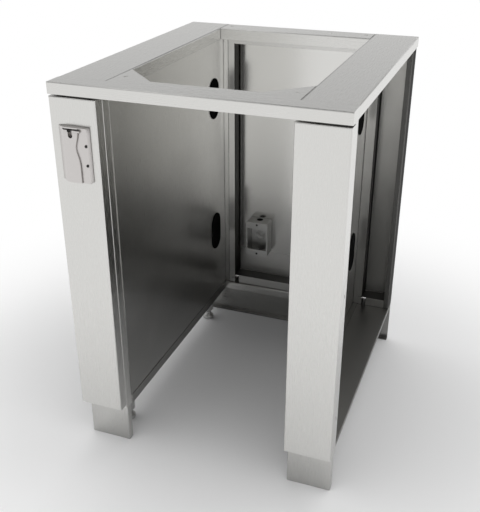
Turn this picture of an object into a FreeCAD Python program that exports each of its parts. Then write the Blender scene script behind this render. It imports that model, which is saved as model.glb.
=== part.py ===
import FreeCAD, Part
import Sketcher
import math
import os
from types import SimpleNamespace

# Open-bay outdoor appliance cabinet folded from stainless sheet.
# Millimetres, +Z up, front towards -Y. The origin is on the floor, under the middle of the whole
# object, so the fitting that stands out from the left column counts in its depth.

doc = FreeCAD.newDocument("ApplianceCabinet")
sheet = doc.addObject("Spreadsheet::Sheet", "Sizes")

# Driving sizes: name, value, meaning
driving = (
    ("cabinet_width", 610, "outside width of the carcass"),
    ("cabinet_depth", 710, "front of the columns to the back of the rear panels"),
    ("cabinet_height", 876, "floor to the top of the frame"),
    ("sheet_gauge", 1.2, "thickness of the folded sheet"),
    ("bend_radius", 1.5, "inside radius of a fold"),
    ("rim_height", 24, "outer edge of the top frame"),
    ("rim_gap", 4, "shadow gap between the rim and the columns"),
    ("trim_depth", 16, "top leg of the front trim"),
    ("front_strip_depth", 45, "front of the cabinet to the side plates"),
    ("front_rail_depth", 70, "front of the cabinet to the top opening"),
    ("rear_rail_depth", 66, "back of the cabinet to the top opening"),
    ("opening_flange", 28, "fold that hangs round the top opening"),
    ("gusset_leg", 82, "leg of the triangle in each front corner of the opening"),
    ("top_hole_diameter", 8, "countertop screw holes"),
    ("top_hole_side", 17.3, "side plate to the line of countertop holes"),
    ("top_hole_front", 22, "front rail's edge to its holes"),
    ("top_hole_rear", 26, "back of the cabinet to the rear holes"),
    ("column_width", 107.6, "cabinet side to the bay face of a partition"),
    ("fascia_inset", 1, "cabinet side to the fascia"),
    ("fascia_step", 0.8, "flange of the front post past the fascia, into the bay"),
    ("fascia_depth", 26, "returns of a fascia"),
    ("post_inset", 3, "cabinet side to the post, floor and corner post"),
    ("post_depth", 28, "flanges of a front post"),
    ("partition_lap", 4, "partition over the flange of the front post"),
    ("joint_hole_radius", 3.3, "holes for joining cabinets side by side"),
    ("joint_hole_setback", 7, "front of the post to those holes"),
    ("joint_slot_drop", 106, "top of the cabinet to the middle of the upper slot"),
    ("joint_slot_straight", 17, "straight part of the upper slot"),
    ("joint_middle_height", 498, "middle hole"),
    ("joint_lower_height", 201, "lower hole"),
    ("floor_height", 120, "floor to the top of the compartment floors"),
    ("base_drop", 12, "compartment floor down to the bottom of the fascias"),
    ("skirt_drop", 23, "compartment floor down to the lower edge of the carcass in the bay"),
    ("partition_foot", 15, "fold of a partition along the compartment floor"),
    ("cutout_back", 115, "back of the cabinet to the utility cut-outs"),
    ("cutout_low", 318, "height of the lower cut-outs"),
    ("cutout_drop", 174, "top of the cabinet to the upper cut-outs"),
    ("cutout_straight", 47, "straight part of a cut-out"),
    ("cutout_radius", 27.5, "ends of a cut-out"),
    ("plug_overlap", 3, "plug flange beyond the cut-out"),
    ("plug_flange", 2, "thickness of a plug's flange"),
    ("plug_clearance", 0.2, "plug neck inside the cut-out"),
    ("recess_depth", 44, "depth of the rear panels' recess"),
    ("recess_bend", 4, "soft inside corner of the recess"),
    ("wall_flange", 12.3, "rear flange of a partition"),
    ("seam_gap", 1.6, "seam between partition flange and rear panel"),
    ("panel_lip", 17, "lip of the middle rear panel"),
    ("side_panel_lip", 23.2, "inner lip of a side rear panel"),
    ("bottom_lip", 25.5, "lip under a recess"),
    ("top_lip", 40, "lip over a recess"),
    ("notch_width", 12, "corner notches at the ends of the lip under a recess"),
    ("slit_length", 10, "relief slit in the lip beside a corner notch"),
    ("slit_width", 1.6, "relief slit in the lip beside a corner notch"),
    ("middle_slit_rise", 14, "compartment floor to the slits of the middle panel"),
    ("side_slit_rise", 26, "compartment floor to the slit of a side panel"),
    ("corner_flange", 17, "cabinet side to the edge of a corner post"),
    ("rear_post_clearance", 5, "rear post's flanges to the back of the cabinet"),
    ("rail_nose", 6, "rear bottom rail in front of the rear panel"),
    ("rail_return", 25, "lower leg of the rear bottom rail"),
    ("kick_setback", 6, "back of the cabinet to the kick plate"),
    ("kick_lip", 14, "lower fold of the kick plate"),
    ("leg_setback", 30, "front of the cabinet to the front legs"),
    ("leg_depth", 17, "returns of a front leg"),
    ("leg_clearance", 1, "sheet edges above the floor"),
    ("foot_side", 62, "cabinet side to a levelling foot"),
    ("front_foot_setback", 109, "front of the cabinet to the front feet"),
    ("rear_foot_setback", 79, "back of the cabinet to the rear feet"),
    ("socket_plate", 3, "thickness of a foot's mounting plate"),
    ("socket_plate_width", 50, "width of a foot's mounting plate"),
    ("socket_wall", 10.7, "wall of the barrel that takes the stud"),
    ("socket_bottom", 30, "floor to the lower end of the barrel"),
    ("stud_radius", 5, "levelling stud"),
    ("bore_cover", 8.8, "solid barrel over the stud's bore"),
    ("stud_clearance", 0.3, "stud in its barrel and in its pad"),
    ("stud_headroom", 3, "bore above the stud"),
    ("stud_spigot_radius", 4, "lower end of the stud, inside the pad"),
    ("stud_hex_height", 6, "spanner flats on the stud"),
    ("stud_hex_radius", 9, "centre to the corners of the spanner flats"),
    ("nut_height", 6, "lock nut under the barrel"),
    ("nut_radius", 9.8, "centre to the corners of the lock nut"),
    ("pad_radius", 16, "levelling pad"),
    ("pad_rim", 10, "thickness of the pad's edge"),
    ("pad_boss_radius", 9.5, "boss of the pad"),
    ("pad_height", 16, "floor to the top of the boss"),
    ("pad_floor", 6.5, "solid part of the pad under the spigot"),
    ("box_offset", 173.5, "left side of the cabinet to the outlet box"),
    ("box_width", 65, "outlet box"),
    ("box_height", 105, "outlet box"),
    ("box_depth", 38, "outlet box behind its frame"),
    ("box_bottom", 221, "floor to the outlet box"),
    ("box_wall", 3, "wall of the outlet box"),
    ("box_corner", 5, "upright edges of the outlet box"),
    ("box_frame", 3, "thickness of the frame on the outlet box"),
    ("window_side", 3.5, "side of the frame to its window"),
    ("window_end", 19, "ends of the frame to its window"),
    ("box_screw_inset", 6.5, "ends of the frame to its screws"),
    ("box_ear_width", 12, "ears of the box that take the screws"),
    ("box_ear_depth", 12, "ears of the box that take the screws"),
    ("box_ear_rim", 5, "ear past the middle of its screw"),
    ("box_screw_length", 10, "screws of the frame"),
    ("knockout_radius", 9.5, "knockouts in the top and bottom of the outlet box"),
    ("knockout_clearance", 0.15, "knockout in its hole"),
    ("knockout_recess", 0.6, "knockout below the face of the box"),
    ("knockout_inset", 28, "face of the frame to the middle of those knockouts"),
    ("back_knockout_radius", 14, "knockout in the middle of the outlet box's back"),
    ("opener_offset", 20, "left side of the cabinet to the opener"),
    ("opener_width", 69.5, "bottle opener"),
    ("opener_height", 111, "bottle opener"),
    ("opener_drop", 85, "top of the cabinet to the bottle opener"),
    ("opener_plate", 8, "thickness of the opener at its right edge"),
    ("opener_reach", 13, "how far the opener stands out"),
    ("opener_taper", 1, "how much narrower the opener is at its foot"),
    ("opener_flank", 1, "how far the shell narrows by its flank"),
    ("opener_waist", 44.5, "left edge of the opener to the narrow part of its shell"),
    ("opener_shoulder", 52, "left edge of the opener to the top and foot of its shell"),
    ("opener_swell", 4, "upper bulge of the shell's right edge"),
    ("shell_flank_height", 47, "foot of the opener to where its shell starts to narrow"),
    ("shell_waist_height", 75, "foot of the opener to the narrow part of its shell"),
    ("shell_swell_height", 91, "foot of the opener to the upper bulge of its shell"),
    ("shell_shoulder_height", 102, "foot of the opener to the shoulder of its shell"),
    ("opener_round", 3, "soft edge of the opener's shell"),
    ("opener_hood", 4, "hood over the mouth"),
    ("mouth_width", 10, "mouth under the pry bar"),
    ("mouth_height", 14, "mouth under the pry bar"),
    ("mouth_offset", 26.5, "left edge of the opener to the mouth"),
    ("mouth_top", 6, "top of the opener to the mouth"),
    ("mouth_depth", 9, "how deep the mouth is"),
    ("bar_width", 36, "pry bar across the mouth"),
    ("bar_height", 5, "pry bar"),
    ("bar_reach", 1.5, "pry bar in front of the shell"),
    ("bar_offset", 16, "left edge of the opener to the pry bar"),
    ("bar_drop", 5, "top of the opener to the pry bar"),
    ("opener_screw_side", 7, "right edge of the opener to its screws"),
    ("opener_screw_low", 35.5, "foot of the opener to its lower screw"),
    ("opener_screw_spacing", 40.5, "between the opener's screws"),
    ("opener_screw_length", 16, "opener screws"),
    ("screw_radius", 2.5, "shank of the small screws"),
    ("screw_clearance", 0.3, "hole round a small screw"),
    ("screw_head_radius", 4.2, "head of the small screws"),
    ("screw_head_height", 2, "head of the small screws"),
    ("joining_screw_length", 9, "screws in the sides of the front posts"),
)
for row, (name, value, meaning) in enumerate(driving, start=1):
    sheet.set(f"A{row}", meaning)
    sheet.set(f"B{row}", str(value))
    sheet.setAlias(f"B{row}", name)
doc.recompute()


def number(term):
    return term.value if isinstance(term, Length) else term


def formula(term):
    return term.formula if isinstance(term, Length) else repr(term)


class Length:
    # A value together with the formula that binds it to the sheet
    def __init__(self, value, text):
        self.value = value
        self.formula = text

    def __add__(self, other):
        return Length(self.value + number(other), f"({self.formula} + {formula(other)})")

    def __radd__(self, other):
        return Length(other + self.value, f"({other} + {self.formula})")

    def __sub__(self, other):
        return Length(self.value - number(other), f"({self.formula} - {formula(other)})")

    def __rsub__(self, other):
        return Length(other - self.value, f"({other} - {self.formula})")

    def __mul__(self, factor):
        return Length(self.value * factor, f"({self.formula} * {factor})")

    __rmul__ = __mul__

    def __truediv__(self, divisor):
        return Length(self.value / divisor, f"({self.formula} / {divisor})")

    def __neg__(self):
        return Length(-self.value, f"(-1 * {self.formula})")


s = SimpleNamespace(**{name: Length(float(sheet.get(name)), f"Sizes.{name}") for name, _, _ in driving})

# Planes and levels that several pieces share
gauge = s.sheet_gauge
outer_bend = s.bend_radius + gauge
half = s.cabinet_width / 2
front = (s.opener_reach - s.cabinet_depth) / 2
rear = (s.opener_reach + s.cabinet_depth) / 2
top = s.cabinet_height
under_top = top - gauge
rim_bottom = top - s.rim_height
flange_bottom = top - s.opening_flange
fascia_back = front + s.fascia_depth
post_back = fascia_back + s.post_depth
wall = s.column_width
ledge = wall + gauge
fascia_low = s.floor_height - s.base_drop
skirt_low = s.floor_height - s.skirt_drop
lip_plane = rear - s.recess_depth
floor_under = s.floor_height - gauge
kick_front = rear - s.kick_setback
kick_back = kick_front + gauge
middle_lip = wall + s.wall_flange + s.seam_gap
middle_recess = middle_lip + s.panel_lip
side_lip = wall - gauge - s.seam_gap
side_recess = side_lip - s.side_panel_lip
cutout_line = rear - s.cutout_back
cutout_high = top - s.cutout_drop
joint_line = fascia_back + s.joint_hole_setback
flush = Length(0.0, "0")
hands = {-1: "left", 1: "right"}
near_enough = 0.001
hex_sides = 6
nodes = []


def from_side(side, inset):
    return (half - inset) * side


def between(side, near, far):
    edges = (from_side(side, far), from_side(side, near))
    return edges if side > 0 else edges[::-1]


def bind(thing, prop, length):
    thing.setExpression(prop, length.formula)


def piece(label):
    body = doc.addObject("PartDesign::Body", label)
    body.Label = label
    nodes.append(body)
    return body


# Outlines: each returns a function that draws it in a sketch

def pin(sketch, item, point, across, up):
    for kind, length in (("DistanceX", across), ("DistanceY", up)):
        rule = sketch.addConstraint(Sketcher.Constraint(kind, -1, 1, item, point, number(length)))
        bind(sketch, f"Constraints[{rule}]", length)


def set_radius(sketch, item, radius):
    rule = sketch.addConstraint(Sketcher.Constraint("Radius", item, number(radius)))
    bind(sketch, f"Constraints[{rule}]", radius)


def polygon(*corners):
    def draw(sketch):
        places = [FreeCAD.Vector(number(a), number(b), 0) for a, b in corners]
        count = len(places)
        for i in range(count):
            sketch.addGeometry(Part.LineSegment(places[i], places[(i + 1) % count]))
        for i, (across, up) in enumerate(corners):
            sketch.addConstraint(Sketcher.Constraint("Coincident", i, 2, (i + 1) % count, 1))
            pin(sketch, i, 1, across, up)
    return draw


def rectangle(left, right, low, high):
    return polygon((left, low), (right, low), (right, high), (left, high))


def hexagon(across, up, radius):
    turns = [2 * math.pi * i / hex_sides for i in range(hex_sides)]
    return polygon(*[(across + radius * math.cos(a), up + radius * math.sin(a)) for a in turns])


def circles(radius, *centres):
    def draw(sketch):
        for i, (across, up) in enumerate(centres):
            centre = FreeCAD.Vector(number(across), number(up), 0)
            sketch.addGeometry(Part.Circle(centre, FreeCAD.Vector(0, 0, 1), number(radius)))
            pin(sketch, i, 3, across, up)
            set_radius(sketch, i, radius)
    return draw


def stadium(across, up, straight, radius):
    def draw(sketch):
        x, r = number(across), number(radius)
        ends = (up + straight / 2, up - straight / 2)
        high, low = number(ends[0]), number(ends[1])
        axis = FreeCAD.Vector(0, 0, 1)
        for level, turn in ((high, 0), (low, math.pi)):
            circle = Part.Circle(FreeCAD.Vector(x, level, 0), axis, r)
            sketch.addGeometry(Part.ArcOfCircle(circle, turn, turn + math.pi))
        sketch.addGeometry(Part.LineSegment(FreeCAD.Vector(x - r, high, 0), FreeCAD.Vector(x - r, low, 0)))
        sketch.addGeometry(Part.LineSegment(FreeCAD.Vector(x + r, low, 0), FreeCAD.Vector(x + r, high, 0)))
        for first, second in ((0, 2), (2, 1), (1, 3), (3, 0)):
            sketch.addConstraint(Sketcher.Constraint("Tangent", first, 2, second, 1))
        for item in range(2):
            pin(sketch, item, 3, across, ends[item])
            set_radius(sketch, item, radius)
    return draw


# Features: a wall is added, and a cut taken away, between two levels along the plane's normal

def sketch_on(body, plane, level, draw):
    sketch = body.newObject("Sketcher::SketchObject", "Outline")
    base = next(f for f in body.Origin.OriginFeatures if f.Role == plane + "_Plane")
    sketch.AttachmentSupport = [(base, "")]
    sketch.MapMode = "FlatFace"
    bind(sketch, "AttachmentOffset.Base.z", level)
    draw(sketch)
    return sketch


def add_wall(body, plane, low, high, draw):
    level = -high if plane == "XZ" else low
    sketch = sketch_on(body, plane, level, draw)
    pad = body.newObject("PartDesign::Pad", "Wall")
    pad.Profile = sketch
    bind(pad, "Length", high - low)


def cut(body, plane, low, high, draw):
    level = -low if plane == "XZ" else high
    sketch = sketch_on(body, plane, level, draw)
    doc.recompute()
    before = body.Shape.Volume
    pocket = body.newObject("PartDesign::Pocket", "Cut")
    pocket.Profile = sketch
    bind(pocket, "Length", high - low)
    doc.recompute()
    if body.Shape.Volume >= before:
        raise RuntimeError(f"{body.Label}: a cut missed the solid")


def edges_at(shape, place):
    names = []
    for index, edge in enumerate(shape.Edges, start=1):
        ends = [vertex.Point for vertex in edge.Vertexes]
        offsets = [getattr(p, axis) - number(v) for p in ends for axis, v in place.items()]
        if len(ends) == 2 and all(abs(offset) < near_enough for offset in offsets):
            names.append(f"Edge{index}")
    if not names:
        raise RuntimeError(f"no edge at {place}")
    return names


def bend(body, radius, *places):
    doc.recompute()
    base = body.Tip
    names = [name for place in places for name in edges_at(body.Shape, place)]
    fillet = body.newObject("PartDesign::Fillet", "Bend")
    fillet.Base = (base, names)
    bind(fillet, "Radius", radius)
    doc.recompute()


# Top frame

def front_trim():
    body = piece("front_trim")
    back = front + s.trim_depth
    profile = polygon((front, top), (back, top), (back, under_top), (front + gauge, under_top),
                      (front + gauge, rim_bottom), (front, rim_bottom))
    add_wall(body, "YZ", -half, half, profile)
    for side in hands:
        end = rectangle(front + gauge, back, rim_bottom, under_top)
        add_wall(body, "YZ", *between(side, flush, gauge), end)
    bend(body, outer_bend, dict(y=front, z=top))


def opening_edge(side):
    return from_side(side, wall + gauge)


def top_front_rail():
    body = piece("top_front_rail")
    start = front + s.trim_depth
    strip = front + s.front_strip_depth
    edge = front + s.front_rail_depth
    tip = edge + s.gusset_leg
    gusset = wall + gauge + s.gusset_leg
    left, right = from_side(-1, gusset), from_side(1, gusset)
    plate = polygon((-half, start), (half, start), (half, strip), (opening_edge(1), strip),
                    (opening_edge(1), tip), (right, edge), (left, edge), (opening_edge(-1), tip),
                    (opening_edge(-1), strip), (-half, strip))
    add_wall(body, "XY", under_top, top, plate)
    add_wall(body, "XZ", edge - gauge, edge, rectangle(left, right, flange_bottom, under_top))
    for side in hands:
        end = rectangle(start, strip, rim_bottom, under_top)
        add_wall(body, "YZ", *between(side, flush, gauge), end)
    hole_line = wall + gauge + s.top_hole_side
    holes = [(from_side(side, hole_line), edge + s.top_hole_front) for side in hands]
    cut(body, "XY", under_top, top, circles(s.top_hole_diameter / 2, *holes))


def top_rear_rail():
    body = piece("top_rear_rail")
    edge = rear - s.rear_rail_depth
    profile = polygon((edge, flange_bottom), (edge, top), (rear, top), (rear, rim_bottom),
                      (rear - gauge, rim_bottom), (rear - gauge, under_top), (edge + gauge, under_top),
                      (edge + gauge, flange_bottom))
    add_wall(body, "YZ", opening_edge(-1), opening_edge(1), profile)
    hole_line = wall + gauge + s.top_hole_side
    holes = [(from_side(side, hole_line), rear - s.top_hole_rear) for side in hands]
    cut(body, "XY", under_top, top, circles(s.top_hole_diameter / 2, *holes))
    bend(body, outer_bend, dict(y=edge, z=top), dict(y=rear, z=top))


def top_side_plate(side):
    body = piece(f"top_side_plate_{hands[side]}")
    outside, inside = from_side(side, flush), opening_edge(side)
    profile = polygon((outside, top), (inside, top), (inside, flange_bottom),
                      (from_side(side, wall), flange_bottom), (from_side(side, wall), under_top),
                      (from_side(side, gauge), under_top), (from_side(side, gauge), rim_bottom),
                      (outside, rim_bottom))
    add_wall(body, "XZ", front + s.front_strip_depth, rear, profile)
    end = rectangle(from_side(side, gauge), from_side(side, wall), rim_bottom, under_top)
    add_wall(body, "XZ", rear - gauge, rear, end)
    bend(body, outer_bend, dict(x=outside, z=top), dict(x=inside, z=top))


# Columns

def fascia(side):
    body = piece(f"fascia_{hands[side]}")
    far = wall - gauge - s.fascia_step
    outside, inside = from_side(side, s.fascia_inset), from_side(side, far)
    outer_wall, inner_wall = from_side(side, s.fascia_inset + gauge), from_side(side, far - gauge)
    low, high = fascia_low, rim_bottom - s.rim_gap
    profile = polygon((outside, front), (inside, front), (inside, fascia_back),
                      (inner_wall, fascia_back), (inner_wall, front + gauge),
                      (outer_wall, front + gauge), (outer_wall, fascia_back), (outside, fascia_back))
    add_wall(body, "XY", low, high, profile)
    for level in (low, high - gauge):
        end = rectangle(outer_wall, inner_wall, front + gauge, fascia_back)
        add_wall(body, "XY", level, level + gauge, end)
    if side < 0:
        hole = s.screw_radius + s.screw_clearance
        cut(body, "XZ", front, front + gauge, circles(hole, *opener_screw_places()))
    bend(body, outer_bend, dict(x=outside, y=front), dict(x=inside, y=front),
         dict(y=front, z=low), dict(y=front, z=high))


def front_post(side):
    body = piece(f"front_post_{hands[side]}")
    near, far = s.post_inset, wall - gauge
    profile = polygon((from_side(side, near), fascia_back), (from_side(side, far), fascia_back),
                      (from_side(side, far), post_back), (from_side(side, far - gauge), post_back),
                      (from_side(side, far - gauge), fascia_back + gauge),
                      (from_side(side, near + gauge), fascia_back + gauge),
                      (from_side(side, near + gauge), post_back), (from_side(side, near), post_back))
    add_wall(body, "XY", skirt_low, under_top, profile)
    bend(body, s.bend_radius, dict(x=from_side(side, near + gauge), y=fascia_back + gauge),
         dict(x=from_side(side, far - gauge), y=fascia_back + gauge))
    bend(body, outer_bend, dict(x=from_side(side, near), y=fascia_back),
         dict(x=from_side(side, far), y=fascia_back))
    flange = between(side, near, near + gauge)
    slot = stadium(joint_line, top - s.joint_slot_drop, s.joint_slot_straight, s.joint_hole_radius)
    cut(body, "YZ", *flange, slot)
    heights = (s.joint_middle_height, s.joint_lower_height)
    cut(body, "YZ", *flange, circles(s.joint_hole_radius, *[(joint_line, height) for height in heights]))


def partition(side):
    body = piece(f"partition_{hands[side]}")
    sheet_span = between(side, wall - gauge, wall)
    start = post_back - s.partition_lap
    add_wall(body, "YZ", *sheet_span, rectangle(start, lip_plane + gauge, s.floor_height, under_top))
    flange = rectangle(from_side(side, wall), from_side(side, wall + s.wall_flange),
                       s.floor_height, flange_bottom)
    add_wall(body, "XZ", lip_plane, lip_plane + gauge, flange)
    foot = rectangle(from_side(side, wall - s.partition_foot), from_side(side, wall - gauge),
                     post_back + gauge, lip_plane - gauge)
    add_wall(body, "XY", s.floor_height, s.floor_height + gauge, foot)
    for height in (s.cutout_low, cutout_high):
        hole = stadium(cutout_line, height, s.cutout_straight, s.cutout_radius)
        cut(body, "YZ", *sheet_span, hole)
    bend(body, s.bend_radius, dict(x=from_side(side, wall), y=lip_plane))


def utility_plug(side, name, height):
    body = piece(f"utility_plug_{hands[side]}_{name}")
    neck = stadium(cutout_line, height, s.cutout_straight, s.cutout_radius - s.plug_clearance)
    flange = stadium(cutout_line, height, s.cutout_straight, s.cutout_radius + s.plug_overlap)
    add_wall(body, "YZ", *between(side, wall - gauge, wall), neck)
    add_wall(body, "YZ", *between(side, wall, wall + s.plug_flange), flange)
    add_wall(body, "YZ", *between(side, wall - gauge - s.plug_flange, wall - gauge), flange)


def compartment_floor(side):
    body = piece(f"compartment_floor_{hands[side]}")
    outside, inside = from_side(side, s.post_inset), from_side(side, ledge)
    add_wall(body, "XY", floor_under, s.floor_height, rectangle(outside, inside, post_back, kick_back))
    lip = rectangle(post_back, kick_front, fascia_low, floor_under)
    add_wall(body, "YZ", *between(side, s.post_inset, s.post_inset + gauge), lip)
    skirt = rectangle(post_back, kick_front, skirt_low, floor_under)
    add_wall(body, "YZ", *between(side, wall, ledge), skirt)


def front_leg(side):
    body = piece(f"front_leg_{hands[side]}")
    near, far = s.post_inset + gauge, wall - gauge * 2
    face = front + s.leg_setback
    back = face + s.leg_depth
    profile = polygon((from_side(side, near), face), (from_side(side, far), face),
                      (from_side(side, far), back), (from_side(side, far - gauge), back),
                      (from_side(side, far - gauge), face + gauge),
                      (from_side(side, near + gauge), face + gauge),
                      (from_side(side, near + gauge), back), (from_side(side, near), back))
    add_wall(body, "XY", s.leg_clearance, floor_under, profile)
    bend(body, s.bend_radius, dict(x=from_side(side, near + gauge), y=face + gauge),
         dict(x=from_side(side, far - gauge), y=face + gauge))
    bend(body, outer_bend, dict(x=from_side(side, near), y=face), dict(x=from_side(side, far), y=face))


# Rear wall

def rear_panel(label, lips, recess, notches, slits):
    body = piece(label)
    low, high = s.floor_height + s.bottom_lip, under_top - s.top_lip
    left, right = recess
    back = rear - gauge
    lip = rectangle(*lips, s.floor_height, under_top)
    add_wall(body, "XZ", lip_plane, lip_plane + gauge, lip)
    shell = rectangle(left - gauge, right + gauge, low - gauge, high + gauge)
    add_wall(body, "XZ", lip_plane + gauge, rear, shell)
    cut(body, "XZ", lip_plane, back, rectangle(left, right, low, high))
    bend(body, s.recess_bend, dict(x=left, y=back), dict(x=right, y=back),
         dict(y=back, z=low), dict(y=back, z=high))
    skirt = rectangle(left - gauge, right + gauge, s.floor_height, low - gauge)
    add_wall(body, "XZ", back, rear, skirt)
    for start, end in notches:
        notch = rectangle(start, end, s.floor_height, low - gauge)
        cut(body, "XZ", lip_plane, lip_plane + gauge, notch)
    for start, end, rise in slits:
        level = s.floor_height + rise
        slit = rectangle(start, end, level - s.slit_width / 2, level + s.slit_width / 2)
        cut(body, "XZ", lip_plane, lip_plane + gauge, slit)


def rear_panels():
    lips = (from_side(-1, middle_lip), from_side(1, middle_lip))
    recess = (from_side(-1, middle_recess), from_side(1, middle_recess))
    notches = [between(side, middle_recess, middle_recess + s.notch_width) for side in hands]
    slits = [(*between(side, middle_recess - s.slit_length, middle_recess), s.middle_slit_rise)
             for side in hands]
    rear_panel("rear_panel_middle", lips, recess, notches, slits)
    for side in hands:
        lips = between(side, s.post_inset + gauge, side_lip)
        recess = between(side, s.corner_flange, side_recess)
        notch = between(side, side_recess - s.notch_width, side_recess)
        slit = (*between(side, side_recess, side_recess + s.slit_length), s.side_slit_rise)
        rear_panel(f"rear_panel_{hands[side]}", lips, recess, [notch], [slit])


def rear_post(side):
    body = piece(f"rear_post_{hands[side]}")
    near, far = side_recess + gauge, middle_recess - gauge
    face = lip_plane + gauge
    back = rear - s.rear_post_clearance
    profile = polygon((from_side(side, near), face), (from_side(side, far), face),
                      (from_side(side, far), back), (from_side(side, far - gauge), back),
                      (from_side(side, far - gauge), face + gauge),
                      (from_side(side, near + gauge), face + gauge),
                      (from_side(side, near + gauge), back), (from_side(side, near), back))
    add_wall(body, "XY", s.floor_height, flange_bottom, profile)


def corner_post(side):
    body = piece(f"corner_post_{hands[side]}")
    near, far = s.post_inset, s.corner_flange
    face = lip_plane - gauge
    profile = polygon((from_side(side, near), face), (from_side(side, far), face),
                      (from_side(side, far), lip_plane), (from_side(side, near + gauge), lip_plane),
                      (from_side(side, near + gauge), rear - gauge), (from_side(side, near), rear - gauge))
    add_wall(body, "XY", s.floor_height, under_top, profile)
    bend(body, outer_bend, dict(x=from_side(side, near), y=face))


def rear_bottom_rail():
    body = piece("rear_bottom_rail")
    face = lip_plane - s.rail_nose
    low = skirt_low
    profile = polygon((face, low), (face + s.rail_return, low), (face + s.rail_return, low + gauge),
                      (face + gauge, low + gauge), (face + gauge, floor_under), (kick_back, floor_under),
                      (kick_back, s.floor_height), (face, s.floor_height))
    add_wall(body, "YZ", from_side(-1, ledge), from_side(1, ledge), profile)
    bend(body, outer_bend, dict(y=face, z=s.floor_height), dict(y=face, z=low))


def rear_kick_plate():
    body = piece("rear_kick_plate")
    low = s.leg_clearance
    lip = kick_front - s.kick_lip
    profile = polygon((kick_back, low), (kick_back, floor_under), (kick_front, floor_under),
                      (kick_front, low + gauge), (lip, low + gauge), (lip, low))
    add_wall(body, "YZ", from_side(-1, s.post_inset), from_side(1, s.post_inset), profile)
    bend(body, outer_bend, dict(y=kick_back, z=low))


# Levelling feet

def foot_places():
    for end, depth in (("front", front + s.front_foot_setback), ("rear", rear - s.rear_foot_setback)):
        for side in hands:
            yield f"{end}_{hands[side]}", from_side(side, s.foot_side), depth


def levelling_foot(name, x, y):
    plate_low = floor_under - s.socket_plate
    bore_top = plate_low - s.bore_cover
    stud_top = bore_top - s.stud_headroom
    bore_radius = s.stud_radius + s.stud_clearance
    reach = s.socket_plate_width / 2
    socket = piece(f"foot_socket_{name}")
    add_wall(socket, "XY", plate_low, floor_under, rectangle(x - reach, x + reach, y - reach, y + reach))
    add_wall(socket, "XY", s.socket_bottom, plate_low, circles(bore_radius + s.socket_wall, (x, y)))
    cut(socket, "XY", s.socket_bottom, bore_top, circles(bore_radius, (x, y)))
    stud = piece(f"foot_stud_{name}")
    add_wall(stud, "XY", s.pad_height, s.pad_height + s.stud_hex_height, hexagon(x, y, s.stud_hex_radius))
    add_wall(stud, "XY", s.pad_height + s.stud_hex_height, stud_top, circles(s.stud_radius, (x, y)))
    spigot_end = s.pad_floor + s.stud_clearance
    add_wall(stud, "XY", spigot_end, s.pad_height, circles(s.stud_spigot_radius, (x, y)))
    pad = piece(f"foot_pad_{name}")
    add_wall(pad, "XY", flush, s.pad_rim, circles(s.pad_radius, (x, y)))
    add_wall(pad, "XY", s.pad_rim, s.pad_height, circles(s.pad_boss_radius, (x, y)))
    seat = circles(s.stud_spigot_radius + s.stud_clearance, (x, y))
    cut(pad, "XY", s.pad_floor, s.pad_height, seat)


def place(thing, x, y, z):
    for axis, length in zip("xyz", (x, y, z)):
        bind(thing, f"Placement.Base.{axis}", length)


def group(label, solids):
    compound = doc.addObject("Part::Compound", label)
    compound.Label = label
    compound.Links = solids
    nodes.append(compound)


def lock_nut(name, x, y):
    block = doc.addObject("Part::Prism", f"nut_block_{name}")
    block.Polygon = hex_sides
    bind(block, "Circumradius", s.nut_radius)
    bind(block, "Height", s.nut_height)
    hole = doc.addObject("Part::Cylinder", f"nut_hole_{name}")
    bind(hole, "Radius", s.stud_radius + s.stud_clearance)
    bind(hole, "Height", s.nut_height)
    for solid in (block, hole):
        place(solid, x, y, s.socket_bottom - s.nut_height)
    nut = doc.addObject("Part::Cut", f"nut_{name}")
    nut.Base = block
    nut.Tool = hole
    return nut


def levelling_feet():
    for name, x, y in foot_places():
        levelling_foot(name, x, y)
    group("foot_lock_nuts", [lock_nut(name, x, y) for name, x, y in foot_places()])


# Screws: axis gives the direction that the head faces

def screw(name, seat, axis, length):
    turn = FreeCAD.Rotation(FreeCAD.Vector(0, 0, 1), FreeCAD.Vector(*axis))
    shank = doc.addObject("Part::Cylinder", f"{name}_shank")
    bind(shank, "Radius", s.screw_radius)
    bind(shank, "Height", length)
    head = doc.addObject("Part::Cylinder", f"{name}_head")
    bind(head, "Radius", s.screw_head_radius)
    bind(head, "Height", s.screw_head_height)
    for solid in (shank, head):
        solid.Placement.Rotation = turn
    place(head, *seat)
    place(shank, *[at - length * part if part else at for at, part in zip(seat, axis)])
    joined = doc.addObject("Part::Fuse", name)
    joined.Base = head
    joined.Tool = shank
    return joined


def joining_screws(side):
    seat_x = from_side(side, s.post_inset)
    heights = (s.joint_middle_height, s.joint_lower_height)
    screws = [screw(f"joining_screw_{hands[side]}_{i}", (seat_x, joint_line, height), (side, 0, 0),
                    s.joining_screw_length) for i, height in enumerate(heights)]
    group(f"joining_screws_{hands[side]}", screws)


# Outlet box on the middle rear panel

box_left = s.box_offset - half
box_right = box_left + s.box_width
box_middle = box_left + s.box_width / 2
box_top = s.box_bottom + s.box_height
box_waist = s.box_bottom + s.box_height / 2
box_back = rear - gauge
box_face = box_back - s.box_depth
frame_face = box_face - s.box_frame
knockout_line = frame_face + s.knockout_inset


def box_screw_places():
    return [(box_middle, s.box_bottom + s.box_screw_inset), (box_middle, box_top - s.box_screw_inset)]


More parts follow.
